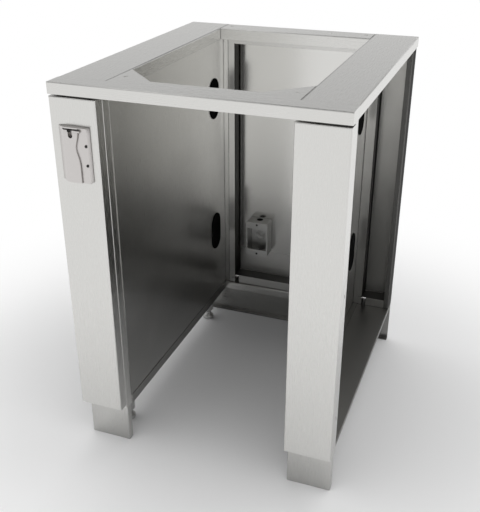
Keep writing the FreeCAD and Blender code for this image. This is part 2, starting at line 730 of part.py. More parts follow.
def outlet_box():
    body = piece("outlet_box")
    add_wall(body, "XZ", box_face, box_back, rectangle(box_left, box_right, s.box_bottom, box_top))
    bend(body, s.box_corner, dict(x=box_left, z=box_top), dict(x=box_right, z=box_top),
         dict(x=box_left, z=s.box_bottom), dict(x=box_right, z=s.box_bottom))
    inside = rectangle(box_left + s.box_wall, box_right - s.box_wall,
                       s.box_bottom + s.box_wall, box_top - s.box_wall)
    cut(body, "XZ", box_face, box_back - s.box_wall, inside)
    ear_left, ear_right = box_middle - s.box_ear_width / 2, box_middle + s.box_ear_width / 2
    ear_back = box_face + s.box_ear_depth
    ear_reach = s.box_screw_inset + s.box_ear_rim
    lower_ear = (s.box_bottom + s.box_wall, s.box_bottom + ear_reach)
    upper_ear = (box_top - ear_reach, box_top - s.box_wall)
    for low, high in (lower_ear, upper_ear):
        add_wall(body, "XZ", box_face, ear_back, rectangle(ear_left, ear_right, low, high))
    hole = s.screw_radius + s.screw_clearance
    cut(body, "XZ", box_face, ear_back, circles(hole, *box_screw_places()))
    for low in (s.box_bottom, box_top - s.box_wall):
        cut(body, "XY", low, low + s.box_wall, circles(s.knockout_radius, (box_middle, knockout_line)))
    back_hole = circles(s.back_knockout_radius, (box_middle, box_waist))
    cut(body, "XZ", box_back - s.box_wall, box_back, back_hole)


def outlet_frame():
    body = piece("outlet_frame")
    add_wall(body, "XZ", frame_face, box_face, rectangle(box_left, box_right, s.box_bottom, box_top))
    bend(body, s.box_corner, dict(x=box_left, z=box_top), dict(x=box_right, z=box_top),
         dict(x=box_left, z=s.box_bottom), dict(x=box_right, z=s.box_bottom))
    window = rectangle(box_left + s.window_side, box_right - s.window_side,
                       s.box_bottom + s.window_end, box_top - s.window_end)
    cut(body, "XZ", frame_face, box_face, window)
    hole = s.screw_radius + s.screw_clearance
    cut(body, "XZ", frame_face, box_face, circles(hole, *box_screw_places()))


def knockout_disc(name, radius):
    disc = doc.addObject("Part::Cylinder", name)
    bind(disc, "Radius", radius - s.knockout_clearance)
    bind(disc, "Height", s.box_wall - s.knockout_recess)
    return disc


def outlet_knockouts():
    lower = knockout_disc("knockout_lower", s.knockout_radius)
    place(lower, box_middle, knockout_line, s.box_bottom + s.knockout_recess)
    upper = knockout_disc("knockout_upper", s.knockout_radius)
    place(upper, box_middle, knockout_line, box_top - s.box_wall)
    back = knockout_disc("knockout_back", s.back_knockout_radius)
    back.Placement.Rotation = FreeCAD.Rotation(FreeCAD.Vector(0, 0, 1), FreeCAD.Vector(0, -1, 0))
    place(back, box_middle, box_back, box_waist)
    group("outlet_knockouts", [lower, upper, back])


def outlet_screws():
    group("outlet_screws", [screw(f"outlet_screw_{i}", (x, frame_face, z), (0, -1, 0), s.box_screw_length)
                            for i, (x, z) in enumerate(box_screw_places())])


# Bottle opener on the left fascia

opener_left = s.opener_offset - half
opener_right = opener_left + s.opener_width
opener_top = top - s.opener_drop
opener_bottom = opener_top - s.opener_height
opener_plate_face = front - s.opener_plate
opener_face = front - s.opener_reach + s.bar_reach


def opener_screw_places():
    x = opener_right - s.opener_screw_side
    low = opener_bottom + s.opener_screw_low
    return [(x, low), (x, low + s.opener_screw_spacing)]


def shell_outline():
    waist = opener_left + s.opener_waist
    shoulder = opener_left + s.opener_shoulder
    under_hood = opener_top - s.opener_hood
    right_edge = ((shoulder, opener_bottom),
                  (shoulder - s.opener_flank, opener_bottom + s.shell_flank_height),
                  (waist, opener_bottom + s.shell_waist_height),
                  (waist + s.opener_swell, opener_bottom + s.shell_swell_height),
                  (shoulder, opener_bottom + s.shell_shoulder_height),
                  (shoulder, under_hood))
    return polygon((opener_left + s.opener_taper, opener_bottom), *right_edge, (opener_left, under_hood))


def opener_body():
    body = piece("opener_body")
    foot = (opener_left + s.opener_taper, opener_bottom)
    plate = polygon(foot, (opener_right, opener_bottom), (opener_right, opener_top),
                    (opener_left, opener_top))
    add_wall(body, "XZ", opener_plate_face, front, plate)
    add_wall(body, "XZ", opener_face, opener_plate_face, shell_outline())
    hood = rectangle(opener_left, opener_right, opener_top - s.opener_hood, opener_top)
    add_wall(body, "XZ", opener_face, opener_plate_face, hood)
    mouth_left = opener_left + s.mouth_offset
    mouth_top = opener_top - s.mouth_top
    middle = mouth_left + s.mouth_width / 2
    mouth_centre = mouth_top - s.mouth_height / 2
    mouth = stadium(middle, mouth_centre, s.mouth_height - s.mouth_width, s.mouth_width / 2)
    cut(body, "XZ", opener_face, opener_face + s.mouth_depth, mouth)
    hole = s.screw_radius + s.screw_clearance
    cut(body, "XZ", opener_plate_face, front, circles(hole, *opener_screw_places()))
    bend(body, s.opener_round, dict(y=opener_face, z=opener_top), dict(x=opener_right, y=opener_plate_face))


def opener_bar():
    body = piece("opener_bar")
    left = opener_left + s.bar_offset
    high = opener_top - s.bar_drop
    bar = rectangle(left, left + s.bar_width, high - s.bar_height, high)
    add_wall(body, "XZ", opener_face - s.bar_reach, opener_face, bar)


def opener_screws():
    group("opener_screws", [screw(f"opener_screw_{i}", (x, opener_plate_face, z), (0, -1, 0),
                                  s.opener_screw_length) for i, (x, z) in enumerate(opener_screw_places())])


front_trim()
top_front_rail()
top_rear_rail()
rear_panels()
rear_bottom_rail()
rear_kick_plate()
for hand in hands:
    top_side_plate(hand)
    fascia(hand)
    front_post(hand)
    partition(hand)
    utility_plug(hand, "lower", s.cutout_low)
    utility_plug(hand, "upper", cutout_high)
    compartment_floor(hand)
    front_leg(hand)
    rear_post(hand)
    corner_post(hand)
    joining_screws(hand)
levelling_feet()
outlet_box()
outlet_frame()
outlet_knockouts()
outlet_screws()
opener_body()
opener_bar()
opener_screws()
doc.recompute()

for thing in doc.Objects:
    if "Invalid" in thing.State or "Error" in thing.State:
        raise RuntimeError(f"{thing.Label} failed to build")
for node in nodes:
    if node.Shape.isNull() or not node.Shape.isValid():
        raise RuntimeError(f"{node.Label} has no valid shape")

os.makedirs("parts", exist_ok=True)
for node in nodes:
    node.Shape.exportStep(f"parts/{node.Label}.step")
print(f"{len(nodes)} nodes written")
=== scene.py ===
import math
import bmesh
import bpy
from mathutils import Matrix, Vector


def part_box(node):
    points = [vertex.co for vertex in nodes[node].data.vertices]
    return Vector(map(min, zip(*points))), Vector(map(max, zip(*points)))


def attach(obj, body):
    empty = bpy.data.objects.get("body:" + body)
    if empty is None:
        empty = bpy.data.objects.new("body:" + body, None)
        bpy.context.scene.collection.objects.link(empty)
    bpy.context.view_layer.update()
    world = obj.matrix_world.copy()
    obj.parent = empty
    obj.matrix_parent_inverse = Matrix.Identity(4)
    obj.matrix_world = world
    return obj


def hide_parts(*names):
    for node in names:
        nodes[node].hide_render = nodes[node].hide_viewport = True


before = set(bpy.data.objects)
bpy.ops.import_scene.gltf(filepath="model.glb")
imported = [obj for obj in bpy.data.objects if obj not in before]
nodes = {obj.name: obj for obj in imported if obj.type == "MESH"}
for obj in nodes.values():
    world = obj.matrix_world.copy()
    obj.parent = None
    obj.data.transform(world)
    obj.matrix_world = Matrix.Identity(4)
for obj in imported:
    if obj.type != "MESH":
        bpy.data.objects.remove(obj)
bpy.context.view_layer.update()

mm = 0.001
near = 0.1 * mm  # corners closer than this are at the same place
touching = 0.001 * mm  # corners closer than this are merged
squareOn = 0.9  # a face with this share of its normal along an axis faces that way
hexagon = 6
upright = Vector((0, 0, 1))
towardsFront = (math.pi / 2, 0, 0)
towardsSide = (0, math.pi / 2, 0)
feet = [f"{end}_{hand}" for end in ("front", "rear") for hand in ("left", "right")]


# Node helpers

def addNode(tree, kind, inputs=None, **settings):
    node = tree.nodes.new(kind)
    for key, value in settings.items():
        setattr(node, key, value)
    for key, value in (inputs or {}).items():
        if isinstance(value, bpy.types.NodeSocket):
            tree.links.new(value, node.inputs[key])
        else:
            node.inputs[key].default_value = value
    return node


def blendColours(tree, amount, first, second):
    mix = addNode(tree, "ShaderNodeMix", {"Factor": amount}, data_type="RGBA")
    for socket, colour in ((mix.inputs[6], first), (mix.inputs[7], second)):
        if isinstance(colour, bpy.types.NodeSocket):
            tree.links.new(colour, socket)
        else:
            socket.default_value = (*colour, 1)
    return mix.outputs[2]


def blendValues(tree, amount, first, second):
    return addNode(tree, "ShaderNodeMix", {"Factor": amount, "A": first, "B": second}).outputs["Result"]


def spread(tree, value, low, high, fromLow=0.0, fromHigh=1.0, **settings):
    inputs = {"Value": value, "From Min": fromLow, "From Max": fromHigh, "To Min": low, "To Max": high}
    return addNode(tree, "ShaderNodeMapRange", inputs, **settings).outputs["Result"]


def calculate(tree, operation, *values, **settings):
    inputs = dict(enumerate(values))
    return addNode(tree, "ShaderNodeMath", inputs, operation=operation, **settings).outputs[0]


def noise(tree, place, **inputs):
    return addNode(tree, "ShaderNodeTexNoise", {"Vector": place, **inputs}).outputs["Fac"]


def objectPlace(tree):
    return addNode(tree, "ShaderNodeTexCoord").outputs["Object"]


def faceNormal(tree):
    return addNode(tree, "ShaderNodeNewGeometry").outputs["Normal"]


def split(tree, vector):
    return addNode(tree, "ShaderNodeSeparateXYZ", {"Vector": vector}).outputs


def newGroup(name, inputs, outputs):
    group = bpy.data.node_groups.new(name, "ShaderNodeTree")
    for label, kind, value in inputs:
        socket = group.interface.new_socket(label, in_out="INPUT", socket_type=kind)
        socket.default_value = value
    for label in outputs:
        group.interface.new_socket(label, in_out="OUTPUT", socket_type="NodeSocketFloat")
    return group, group.nodes.new("NodeGroupInput").outputs, group.nodes.new("NodeGroupOutput").inputs


def useGroup(tree, group, **values):  # places a shared effect in a material
    return addNode(tree, "ShaderNodeGroup", values, node_tree=group).outputs


# Shared effects, each a group that is built once

scratches = {"detail": 4.0, "ragged": 0.62, "driftScale": 4.0, "driftDetail": 3.0, "from": 0.3, "to": 0.7}


def makeBrushing():  # fine scratches that run one way, with a slow drift across the sheet
    inputs = [("Stretch", "NodeSocketVector", (1, 1, 1)), ("Fineness", "NodeSocketFloat", 900.0)]
    group, given, result = newGroup("brushing", inputs, ["Scratch", "Drift"])
    place = objectPlace(group)
    drawn = addNode(group, "ShaderNodeVectorMath", {0: place, 1: given["Stretch"]}, operation="MULTIPLY")
    fine = noise(group, drawn.outputs[0], Scale=given["Fineness"], Detail=scratches["detail"],
                 Roughness=scratches["ragged"])
    slow = noise(group, place, Scale=scratches["driftScale"], Detail=scratches["driftDetail"])
    group.links.new(fine, result["Scratch"])
    group.links.new(slow, result["Drift"])
    return group


edgeSettings = {"samples": 4, "edgeFrom": 0.86, "edgeTo": 0.995, "patchDetail": 2.0, "least": 0.35,
           "patchFrom": 0.35, "patchTo": 0.6}


def makeEdgeWearAndShade():  # one on edges, nought on the flats; their tone is burnished wear, and on the top plates painted shade
    inputs = [("Reach", "NodeSocketFloat", 0.001), ("Patches", "NodeSocketFloat", 60.0)]
    group, given, result = newGroup("edgeWearAndShade", inputs, ["Wear"])
    rounded = addNode(group, "ShaderNodeBevel", {"Radius": given["Reach"]}, samples=edgeSettings["samples"])
    likeness = addNode(group, "ShaderNodeVectorMath", {0: rounded.outputs[0], 1: faceNormal(group)},
                       operation="DOT_PRODUCT")
    edge = spread(group, likeness.outputs["Value"], 1.0, 0.0, edgeSettings["edgeFrom"], edgeSettings["edgeTo"])
    patches = noise(group, objectPlace(group), Scale=given["Patches"], Detail=edgeSettings["patchDetail"])
    broken = spread(group, patches, edgeSettings["least"], 1.0, edgeSettings["patchFrom"], edgeSettings["patchTo"])
    group.links.new(calculate(group, "MULTIPLY", edge, broken, use_clamp=True), result["Wear"])
    return group


dusting = {"speckleDetail": 3.0, "scale": 22.0, "detail": 5.0, "ragged": 0.7, "from": 0.48, "to": 0.78}


def makeGrit():  # speckle of cast and moulded skins, and dust that settles in patches
    group, given, result = newGroup("grit", [("Size", "NodeSocketFloat", 500.0)], ["Speckle", "Dust"])
    place = objectPlace(group)
    fine = noise(group, place, Scale=given["Size"], Detail=dusting["speckleDetail"])
    patch = noise(group, place, Scale=dusting["scale"], Detail=dusting["detail"], Roughness=dusting["ragged"])
    group.links.new(fine, result["Speckle"])
    group.links.new(spread(group, patch, 0.0, 1.0, dusting["from"], dusting["to"]), result["Dust"])
    return group


corners = {"samples": 4, "from": 0.25, "to": 0.8}


def makeGrime():  # painted shade: one in seams, sockets and tight corners, where ambient occlusion finds them hidden
    group, given, result = newGroup("cornerShade", [("Reach", "NodeSocketFloat", 0.003)], ["Grime"])
    shade = addNode(group, "ShaderNodeAmbientOcclusion", {"Distance": given["Reach"]},
                    samples=corners["samples"])
    hidden = spread(group, shade.outputs["AO"], 1.0, 0.0, corners["from"], corners["to"])
    group.links.new(hidden, result["Grime"])
    return group


lowShadeWobble = {"scale": 9.0, "detail": 3.0, "sway": 0.03, "from": 0.3, "to": 0.7}


def makeFilm():  # painted shade: darker towards the foot, along a wavy line
    inputs = [("Low", "NodeSocketFloat", 0.35), ("High", "NodeSocketFloat", 0.75)]
    group, given, result = newGroup("lowShade", inputs, ["Film"])
    place = objectPlace(group)
    wobble = noise(group, place, Scale=lowShadeWobble["scale"], Detail=lowShadeWobble["detail"])
    sway = spread(group, wobble, -lowShadeWobble["sway"], lowShadeWobble["sway"], lowShadeWobble["from"], lowShadeWobble["to"])
    level = calculate(group, "ADD", split(group, place)["Z"], sway)
    group.links.new(spread(group, level, 1.0, 0.0, given["Low"], given["High"]), result["Film"])
    return group


def makeReturns():  # painted shade: one on the folded returns of a recess, nought on faces square to the front
    inputs = [("Fold", "NodeSocketFloat", 0.985), ("Flat", "NodeSocketFloat", 0.9995),
              ("Upward", "NodeSocketFloat", 0.62)]
    group, given, result = newGroup("returnShade", inputs, ["Returns"])
    facing = split(group, faceNormal(group))
    folded = spread(group, calculate(group, "ABSOLUTE", facing["Y"]), 1.0, 0.0, given["Fold"], given["Flat"])
    lit = spread(group, facing["Z"], 1.0, given["Upward"])  # painted light: a return that faces up is painted less dark
    group.links.new(calculate(group, "MULTIPLY", folded, lit), result["Returns"])
    return group


brushing = makeBrushing()
edgeWearAndShade = makeEdgeWearAndShade()
grit = makeGrit()
cornerShade = makeGrime()
lowShade = makeFilm()
returnShade = makeReturns()
print("shader groups made")


# Materials

def newMaterial(name):
    material = bpy.data.materials.new(name)
    material.use_nodes = True
    tree = material.node_tree
    tree.nodes.clear()
    shader = tree.nodes.new("ShaderNodeBsdfPrincipled")
    output = tree.nodes.new("ShaderNodeOutputMaterial")
    tree.links.new(shader.outputs["BSDF"], output.inputs["Surface"])
    return material, tree, shader.inputs


def addRelief(tree, shader, height, finish):
    bump = addNode(tree, "ShaderNodeBump", {"Height": height, "Strength": finish["relief"],
                                            "Distance": finish["depth"]})
    tree.links.new(bump.outputs["Normal"], shader["Normal"])


plateFold = 2.4 * mm  # from a top plate's inner edge to the flat beside its fold
panelStep = 5 * mm  # from the lips of a recess, and from its panel, to where the finish changes
# The dark tone that the painted shade marks blend to, the reach of the painted shade in corners, and the
# roughness there
paintedShade = {"colour": (0.035, 0.034, 0.031), "reach": 0.004, "rough": 0.6}
recess = {"lip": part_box("rear_panel_middle")[0].y + panelStep,
          "panel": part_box("rear_panel_middle")[1].y - panelStep, "foot": 150 * mm, "footTop": 270 * mm}
brushedFinish = {"bright": (0.70, 0.695, 0.675), "dull": (0.68, 0.676, 0.657), "edgeTone": (0.70, 0.695, 0.68),
                 "smooth": 0.262, "rough": 0.29, "wornRough": 0.22, "lipRough": 0.0, "along": 0.008,
                 "fineness": 3800.0, "depth": 0.00004, "relief": 0.006, "edgeReach": 0.0012, "edgeTint": 1.0,
                 "returnShadeShare": 0.0, "seamAt": 0.0, "lowShadeShare": 0.0, "lowShadeFrom": 0.2, "lowShadeTo": 0.65}
# The top plates' edge tone is dark: painted shade along their bevelled edges
plateFinish = {**brushedFinish, "edgeTone": (0.36, 0.357, 0.347),
               "seamAt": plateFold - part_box("top_side_plate_left")[1].x, "seamWidth": 2 * mm,
               "seamShadeShare": 0.7, "topFrom": 0.7, "topTo": 0.95}
# The inner, recess, kick, rail, leg, mill and floor finishes darken towards the foot: painted shade
innerFinish = {**brushedFinish, "bright": (0.75, 0.745, 0.724), "dull": (0.74, 0.735, 0.714),
               "smooth": 0.272, "rough": 0.282, "relief": 0.001, "lowShadeShare": 0.54}
recessFinish = {**brushedFinish, "smooth": 0.18, "rough": 0.21, "lowShadeShare": 0.5, "lowShadeFrom": 0.16,
                "lowShadeTo": 0.4, "returnShadeShare": 1.0, "edgeTint": 0.6, "lipRough": 0.34, "footRough": 0.42}
kickFinish = {**brushedFinish, "lowShadeShare": 0.55}
lowRailFinish = {**brushedFinish, "lowShadeShare": 0.42}
legFinish = {**brushedFinish, "lowShadeShare": 0.3, "lowShadeFrom": 0.0, "lowShadeTo": 0.16}
millFinish = {**recessFinish, "bright": (0.67, 0.665, 0.646), "dull": (0.64, 0.635, 0.617),
              "edgeTone": (0.68, 0.675, 0.66), "smooth": 0.3, "rough": 0.34, "along": 0.03, "fineness": 2600.0,
              "lowShadeShare": 0.53, "lowShadeFrom": 0.44, "lowShadeTo": 0.76}
floorFinish = {**millFinish, "lowShadeShare": 0.44, "returnShadeShare": 0.0, "lipRough": 0.0}
# Painted shade: the corner posts get a dark steel for the shade that falls on them
postShadeFinish = {**brushedFinish, "bright": (0.16, 0.159, 0.154), "dull": (0.135, 0.134, 0.13),
              "edgeTone": (0.2, 0.198, 0.192), "smooth": 0.36, "rough": 0.44, "edgeTint": 0.22}


def makeSheetSteel(name, direction, finish):  # brushed along x, y or z
    material, tree, shader = newMaterial(name)
    stretch = [finish["along"] if axis == direction else 1.0 for axis in "xyz"]
    grain = useGroup(tree, brushing, Fineness=finish["fineness"], Stretch=stretch)
    edgeMask = useGroup(tree, edgeWearAndShade, Reach=finish["edgeReach"])["Wear"]
    # Painted shade in seams and tight corners, from the corner mask
    cornerShadeMask = useGroup(tree, cornerShade, Reach=paintedShade["reach"])["Grime"]
    tone = blendColours(tree, grain["Drift"], finish["dull"], finish["bright"])
    # The edge tone is burnished wear, and on the top plates painted shade
    tone = blendColours(tree, edgeMask, tone, finish["edgeTone"])
    # Painted shade that deepens towards the foot
    if finish["lowShadeShare"]:
        lowShadeMask = useGroup(tree, lowShade, Low=finish["lowShadeFrom"], High=finish["lowShadeTo"])["Film"]
        tone = blendColours(tree, spread(tree, lowShadeMask, 0.0, finish["lowShadeShare"]), tone, paintedShade["colour"])
    # Painted shade on the folded returns of a recess
    if finish["returnShadeShare"]:
        shaded = useGroup(tree, returnShade)["Returns"]
        tone = blendColours(tree, spread(tree, shaded, 0.0, finish["returnShadeShare"]), tone, paintedShade["colour"])
    if finish["seamAt"]:  # painted shade in the joint along a plate's inner edge, on its top face only
        aside = calculate(tree, "ABSOLUTE", split(tree, objectPlace(tree))["X"])
        seamEnd = finish["seamAt"] + finish["seamWidth"]
        joint = spread(tree, aside, finish["seamShadeShare"], 0.0, finish["seamAt"], seamEnd)
        facing = split(tree, faceNormal(tree))
        upward = spread(tree, facing["Z"], 0.0, 1.0, finish["topFrom"], finish["topTo"])
        tone = blendColours(tree, calculate(tree, "MULTIPLY", joint, upward), tone, paintedShade["colour"])
    tree.links.new(blendColours(tree, cornerShadeMask, tone, paintedShade["colour"]), shader["Base Color"])
    satin = spread(tree, grain["Scratch"], finish["smooth"], finish["rough"],
                   scratches["from"], scratches["to"])
    if finish["lipRough"]:  # the lips and the foot of a recess are duller than its panel
        place = split(tree, objectPlace(tree))
        lip = spread(tree, place["Y"], 1.0, 0.0, recess["lip"], recess["panel"])
        lowZone = spread(tree, place["Z"], 1.0, 0.0, recess["foot"], recess["footTop"],
                         interpolation_type="SMOOTHERSTEP")
        satin = blendValues(tree, lip, satin, finish["lipRough"])
        satin = blendValues(tree, lowZone, satin, finish["footRough"])
    polish = blendValues(tree, edgeMask, satin, finish["wornRough"])
    tree.links.new(blendValues(tree, cornerShadeMask, polish, paintedShade["rough"]), shader["Roughness"])
    addRelief(tree, shader, grain["Scratch"], finish)
    tint = finish["edgeTint"]
    shader["Metallic"].default_value = 1.0
    shader["Specular Tint"].default_value = (tint, tint, tint, 1)
    return material


castFinish = {"bright": (0.66, 0.635, 0.62), "dull": (0.58, 0.56, 0.55), "edgeTone": (0.7, 0.68, 0.665),
              "smooth": 0.26, "rough": 0.38, "grain": 700.0, "patches": 90.0, "depth": 0.0002, "relief": 0.08,
              "cornerShadeReach": 0.005}


def makeCastSteel():
    material, tree, shader = newMaterial("castSteel")
    skin = useGroup(tree, grit, Size=castFinish["grain"])
    edgeMask = useGroup(tree, edgeWearAndShade, Patches=castFinish["patches"])["Wear"]
    # Painted shade in the mouth, the groove, the screw holes and tight corners
    cornerShadeMask = useGroup(tree, cornerShade, Reach=castFinish["cornerShadeReach"])["Grime"]
    tone = blendColours(tree, skin["Speckle"], castFinish["dull"], castFinish["bright"])
    tone = blendColours(tree, edgeMask, tone, castFinish["edgeTone"])
    tree.links.new(blendColours(tree, cornerShadeMask, tone, paintedShade["colour"]), shader["Base Color"])
    satin = spread(tree, skin["Speckle"], castFinish["smooth"], castFinish["rough"])
    tree.links.new(satin, shader["Roughness"])
    addRelief(tree, shader, skin["Speckle"], castFinish)
    shader["Metallic"].default_value = 1.0
    return material


mouldedFinish = {"grain": 900.0, "relief": 0.25, "depth": 0.0002, "shine": 0.06}
plugFinish = {**mouldedFinish, "dark": (0.001, 0.001, 0.001), "dusty": (0.004, 0.004, 0.0036),
              "smooth": 0.75, "rough": 0.9}
knockoutFinish = {**mouldedFinish, "dark": (0.002, 0.002, 0.002), "dusty": (0.006, 0.006, 0.0055),
                  "smooth": 0.7, "rough": 0.85}


def makeMoulded(name, finish):  # black rubber or plastic with a trace of dust
    material, tree, shader = newMaterial(name)
    skin = useGroup(tree, grit, Size=finish["grain"])
    tree.links.new(blendColours(tree, skin["Dust"], finish["dark"], finish["dusty"]), shader["Base Color"])
    tree.links.new(spread(tree, skin["Speckle"], finish["smooth"], finish["rough"]), shader["Roughness"])
    addRelief(tree, shader, skin["Speckle"], finish)
    shader["Specular IOR Level"].default_value = finish["shine"]
    return material


machinedFinish = {"grain": 1400.0, "patches": 200.0, "wornGain": 1.25, "relief": 0.08, "depth": 0.0001}
boxFinish = {**machinedFinish, "bright": (0.45, 0.45, 0.44), "dull": (0.4, 0.4, 0.39),
             "smooth": 0.32, "rough": 0.46}
footFinish = {**machinedFinish, "bright": (0.58, 0.58, 0.57), "dull": (0.44, 0.44, 0.43),
              "smooth": 0.25, "rough": 0.42}
screwFinish = {**machinedFinish, "bright": (0.58, 0.58, 0.57), "dull": (0.48, 0.48, 0.47),
               "smooth": 0.28, "rough": 0.42}
darkScrewFinish = {**machinedFinish, "bright": (0.06, 0.06, 0.058), "dull": (0.045, 0.045, 0.043),
                   "smooth": 0.35, "rough": 0.5}


def makeMachined(name, finish):  # turned and plated small steel, and the fine cast box
    material, tree, shader = newMaterial(name)
    skin = useGroup(tree, grit, Size=finish["grain"])
    edgeMask = useGroup(tree, edgeWearAndShade, Patches=finish["patches"])["Wear"]
    # Painted shade in the sockets and tight corners
    cornerShadeMask = useGroup(tree, cornerShade)["Grime"]
    edgeTone = [min(1.0, finish["wornGain"] * part) for part in finish["bright"]]
    tone = blendColours(tree, skin["Dust"], finish["bright"], finish["dull"])
    tone = blendColours(tree, edgeMask, tone, edgeTone)
    tree.links.new(blendColours(tree, cornerShadeMask, tone, paintedShade["colour"]), shader["Base Color"])
    tree.links.new(spread(tree, skin["Speckle"], finish["smooth"], finish["rough"]), shader["Roughness"])
    addRelief(tree, shader, skin["Speckle"], finish)
    shader["Metallic"].default_value = 1.0
    return material


uprightSteel = makeSheetSteel("uprightSteel", "z", brushedFinish)
lengthwaySteel = makeSheetSteel("lengthwaySteel", "y", plateFinish)
crosswaySteel = makeSheetSteel("crosswaySteel", "x", brushedFinish)
partitionSteel = makeSheetSteel("partitionSteel", "z", innerFinish)
recessSteel = makeSheetSteel("recessSteel", "z", recessFinish)
lowRailSteel = makeSheetSteel("lowRailSteel", "x", lowRailFinish)
kickSteel = makeSheetSteel("kickSteel", "x", kickFinish)
legSteel = makeSheetSteel("legSteel", "z", legFinish)
uprightMill = makeSheetSteel("uprightMill", "z", millFinish)
lengthwayMill = makeSheetSteel("lengthwayMill", "y", floorFinish)
postShadeSteel = makeSheetSteel("postShadeSteel", "z", postShadeFinish)
castSteel = makeCastSteel()
plugRubber = makeMoulded("plugRubber", plugFinish)
knockoutBlack = makeMoulded("knockoutBlack", knockoutFinish)
boxAlloy = makeMachined("boxAlloy", boxFinish)
footSteel = makeMachined("footSteel", footFinish)
screwSteel = makeMachined("screwSteel", screwFinish)
darkScrewSteel = makeMachined("darkScrewSteel", darkScrewFinish)
print("materials made")

# How a node's name begins, and its finish: the first that fits counts
nodeFinishes = {"foot_": footSteel, "outlet_": boxAlloy, "partition": partitionSteel,
                # the corner posts take painted shade, a dark steel
                "compartment_floor": lengthwayMill, "corner_post": postShadeSteel,
                "rear_panel_middle": recessSteel, "rear_panel": uprightMill, "front_leg": legSteel,
                "rear_bottom_rail": lowRailSteel, "rear_kick_plate": kickSteel,
                "top_side_plate": lengthwaySteel, "front_trim": crosswaySteel,
                "top_front_rail": crosswaySteel, "top_rear_rail": crosswaySteel}


def finishFor(name):
    for beginning, material in nodeFinishes.items():
        if name.startswith(beginning):
            return material
    return uprightSteel


for name, node in nodes.items():
    node.data.materials.clear()
    node.data.materials.append(finishFor(name))

# Soft edges on the sheets, wider on the top plates
sheetEdge = {"merge": 0.01 * mm, "flat": math.radians(0.5), "width": 0.18 * mm, "plateWidth": 0.9 * mm,
             "angle": math.radians(28), "steps": 2}


def softenEdges(node):
    weld = node.modifiers.new("weld", "WELD")
    weld.merge_threshold = sheetEdge["merge"]
    flat = node.modifiers.new("flat", "DECIMATE")
    flat.decimate_type = "DISSOLVE"
    flat.angle_limit = sheetEdge["flat"]
    bevel = node.modifiers.new("bevel", "BEVEL")
    bevel.width = sheetEdge["plateWidth" if node.name.startswith("top_side_plate") else "width"]
    bevel.segments = sheetEdge["steps"]
    bevel.limit_method = "ANGLE"
    bevel.angle_limit = sheetEdge["angle"]
    bevel.harden_normals = True


for node in nodes.values():
    softenEdges(node)
print("sheets finished")


# Modelling helpers

def clearSelection():
    if bpy.context.object and bpy.context.object.mode != "OBJECT":
        bpy.ops.object.mode_set(mode="OBJECT")
    bpy.ops.object.select_all(action="DESELECT")


def takeUp(piece):  # the only one selected, and active
    clearSelection()
    piece.select_set(True)
    bpy.context.view_layer.objects.active = piece


def settle(piece):  # moves the place into the mesh
    takeUp(piece)
    bpy.ops.object.transform_apply(location=True, rotation=True, scale=True)
    return piece


def addDrum(radius, depth, centre, turn=(0, 0, 0), sides=48):
    clearSelection()
    bpy.ops.mesh.primitive_cylinder_add(vertices=sides, radius=radius, depth=depth, location=centre,
                                        rotation=turn)
    return settle(bpy.context.object)


def addBlock(low, high):
    clearSelection()
    middle = [(a + b) / 2 for a, b in zip(low, high)]
    bpy.ops.mesh.primitive_cube_add(size=1, location=middle, scale=[b - a for a, b in zip(low, high)])
    return settle(bpy.context.object)


def edit(piece):
    takeUp(piece)
    bpy.ops.object.mode_set(mode="EDIT")


def pick(piece, kind, wanted):  # selects what passes the test, in edit mode
    bpy.ops.mesh.select_mode(type=kind)
    bpy.ops.mesh.select_all(action="DESELECT")
    mesh = bmesh.from_edit_mesh(piece.data)
    items = {"VERT": mesh.verts, "EDGE": mesh.edges, "FACE": mesh.faces}[kind]
    for item in items:
        if wanted(item):
            item.select_set(True)
    mesh.select_flush_mode()
    bmesh.update_edit_mesh(piece.data)


def cutAcross(place, direction):  # cuts through the whole piece, in edit mode
    bpy.ops.mesh.select_all(action="SELECT")
    bpy.ops.mesh.bisect(plane_co=place, plane_no=direction)


def drawApart(piece, middle, reach):  # makes a round an upright oval, in edit mode
    for side in (1, -1):
        pick(piece, "VERT", lambda v: side * (v.co.z - middle) > 0)
        bpy.ops.transform.translate(value=(0, 0, side * reach))


def faceOutward():
    bpy.ops.mesh.select_all(action="SELECT")
    bpy.ops.mesh.normals_make_consistent(inside=False)


def bake(piece, kind, **settings):  # adds a modifier and applies it
    takeUp(piece)
    modifier = piece.modifiers.new(kind.lower(), kind)
    for key, value in settings.items():
        setattr(modifier, key, value)
    bpy.ops.object.modifier_apply(modifier=modifier.name)


def carve(piece, tool, operation="DIFFERENCE"):
    bake(piece, "BOOLEAN", object=tool, operation=operation, solver="EXACT")
    bpy.data.objects.remove(tool)


def chamfer(piece, width, steps=3, angle=30):
    bake(piece, "BEVEL", width=width, segments=steps, limit_method="ANGLE", angle_limit=math.radians(angle))


def joinPieces(pieces):
    clearSelection()
    for piece in pieces:
        piece.select_set(True)
    bpy.context.view_layer.objects.active = pieces[0]
    bpy.ops.object.join()
    return bpy.context.object


def copyTo(piece, shift):
    takeUp(piece)
    bpy.ops.object.duplicate()
    copy = bpy.context.object
    copy.location = shift
    return settle(copy)


def drawChain(points):  # a chain of edges through the points, left in edit mode
    clearSelection()
    bpy.ops.mesh.primitive_plane_add(size=mm)
    piece = bpy.context.object
    edit(piece)
    bpy.ops.mesh.select_mode(type="VERT")
    bpy.ops.mesh.select_all(action="SELECT")
    bpy.ops.mesh.merge(type="CENTER")
    last = Vector((0, 0, 0))
    for i, point in enumerate(points):
        step = Vector(point) - last
        if i == 0:
            bpy.ops.transform.translate(value=step)
        else:
            bpy.ops.mesh.extrude_region_move(TRANSFORM_OT_translate={"value": step})
        last = Vector(point)
    return piece


